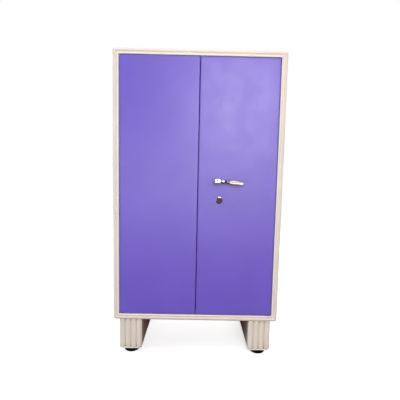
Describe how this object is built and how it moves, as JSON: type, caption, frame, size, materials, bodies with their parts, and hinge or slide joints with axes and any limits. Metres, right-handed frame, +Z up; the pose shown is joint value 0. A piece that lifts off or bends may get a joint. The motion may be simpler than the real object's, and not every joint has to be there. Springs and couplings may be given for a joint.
{
  "type": "steel storage cupboard",
  "caption": "Tall sheet-steel cupboard with hinged inset doors, drooping lever handle, key lock, rod bolts, shelves, fluted plinth runners and round rubber feet.",
  "frame": {"origin": "on the floor, under the middle of the whole object's box, the handle included", "axes": "+Z up, the doors face -Y, +X to the right of someone who faces the doors"},
  "size_m": [0.838, 0.476, 1.524],
  "materials": {
    "cream_paint": "satin cream beige powder coat with a light texture",
    "lavender_paint": "satin lavender purple powder coat",
    "chrome": "polished chrome plate",
    "zinc": "dull bright zinc plate",
    "brass": "plain turned brass",
    "rubber": "matt black moulded rubber"
  },
  "bodies": {
    "cabinet": {"back_panel": "cream_paint", "top_panel": "cream_paint", "bottom_panel": "cream_paint", "side_panel_left": "cream_paint", "side_panel_right": "cream_paint", "frame_stile_left": "cream_paint", "frame_stile_right": "cream_paint", "frame_rail_top": "cream_paint", "frame_rail_bottom": "cream_paint", "runner_shell_left": "cream_paint", "runner_shell_right": "cream_paint", "runner_base_left": "cream_paint", "runner_base_right": "cream_paint", "shelf_1": "cream_paint", "shelf_2": "cream_paint", "shelf_3": "cream_paint", "shelf_support_1_left": "cream_paint", "shelf_support_1_right": "cream_paint", "shelf_support_2_left": "cream_paint", "shelf_support_2_right": "cream_paint", "shelf_support_3_left": "cream_paint", "shelf_support_3_right": "cream_paint", "foot_bolt_front_left": "zinc", "foot_bolt_front_right": "zinc", "foot_bolt_rear_left": "zinc", "foot_bolt_rear_right": "zinc", "hinge_bush_left_top": "brass", "hinge_bush_left_bottom": "brass", "hinge_bush_right_top": "brass", "hinge_bush_right_bottom": "brass", "foot_front_left": "rubber", "foot_front_right": "rubber", "foot_rear_left": "rubber", "foot_rear_right": "rubber", "door_buffer_left": "rubber", "door_buffer_right": "rubber"},
    "left_door": {"door_left": "lavender_paint", "door_stiffener_left": "lavender_paint", "hinge_pin_left_top": "zinc", "hinge_pin_left_bottom": "zinc", "tower_bolt_barrel_upper": "zinc", "tower_bolt_barrel_lower": "zinc"},
    "right_door": {"door_right": "lavender_paint", "door_stiffener_right": "lavender_paint", "hinge_pin_right_top": "zinc", "hinge_pin_right_bottom": "zinc", "handle_bush": "brass", "rod_guide_upper": "zinc", "rod_guide_lower": "zinc", "lock_case": "zinc", "lock_bezel": "chrome"},
    "handle": {"handle_lever": "chrome", "spindle": "zinc", "cam_plate": "zinc"},
    "upper_rod": {"rod_upper": "zinc"},
    "lower_rod": {"rod_lower": "zinc"},
    "key_plug": {"lock_plug": "chrome"},
    "lock_bolt": {"lock_bolt": "zinc"},
    "upper_tower_bolt": {"tower_bolt_upper": "zinc"},
    "lower_tower_bolt": {"tower_bolt_lower": "zinc"}
  },
  "joints": [
    {"name": "left_door_hinge", "type": "hinge", "parent": "cabinet", "child": "left_door", "pos_m": [-0.3725, -0.186, 0.854], "axis": [0, 0, -1], "range_deg": [0, 120]},
    {"name": "right_door_hinge", "type": "hinge", "parent": "cabinet", "child": "right_door", "pos_m": [0.3725, -0.186, 0.854], "axis": [0, 0, 1], "range_deg": [0, 120]},
    {"name": "handle_turn", "type": "hinge", "parent": "right_door", "child": "handle", "pos_m": [0.0946, -0.193, 0.901], "axis": [0, 1, 0], "range_deg": [0, 90]},
    {"name": "upper_rod_slide", "type": "slide", "parent": "right_door", "child": "upper_rod", "axis": [0, 0, 1], "range_m": [0, 0.0198]},
    {"name": "lower_rod_slide", "type": "slide", "parent": "right_door", "child": "lower_rod", "axis": [0, 0, -1], "range_m": [0, 0.0198]},
    {"name": "key_turn", "type": "hinge", "parent": "right_door", "child": "key_plug", "pos_m": [0.106, -0.193, 0.805], "axis": [0, 1, 0], "range_deg": [0, 90]},
    {"name": "lock_bolt_slide", "type": "slide", "parent": "right_door", "child": "lock_bolt", "axis": [0, 0, 1], "range_m": [0, 0.00849]},
    {"name": "upper_tower_bolt_slide", "type": "slide", "parent": "left_door", "child": "upper_tower_bolt", "axis": [0, 0, 1], "range_m": [0, 0.02]},
    {"name": "lower_tower_bolt_slide", "type": "slide", "parent": "left_door", "child": "lower_tower_bolt", "axis": [0, 0, -1], "range_m": [0, 0.02]}
  ],
  "couplings": [
    {"joint": "upper_rod_slide", "follows": "handle_turn", "m_per_rad": 0.0126},
    {"joint": "lower_rod_slide", "follows": "handle_turn", "m_per_rad": 0.0126},
    {"joint": "key_turn", "follows": "lock_bolt_slide", "rad_per_m": 185}
  ]
}
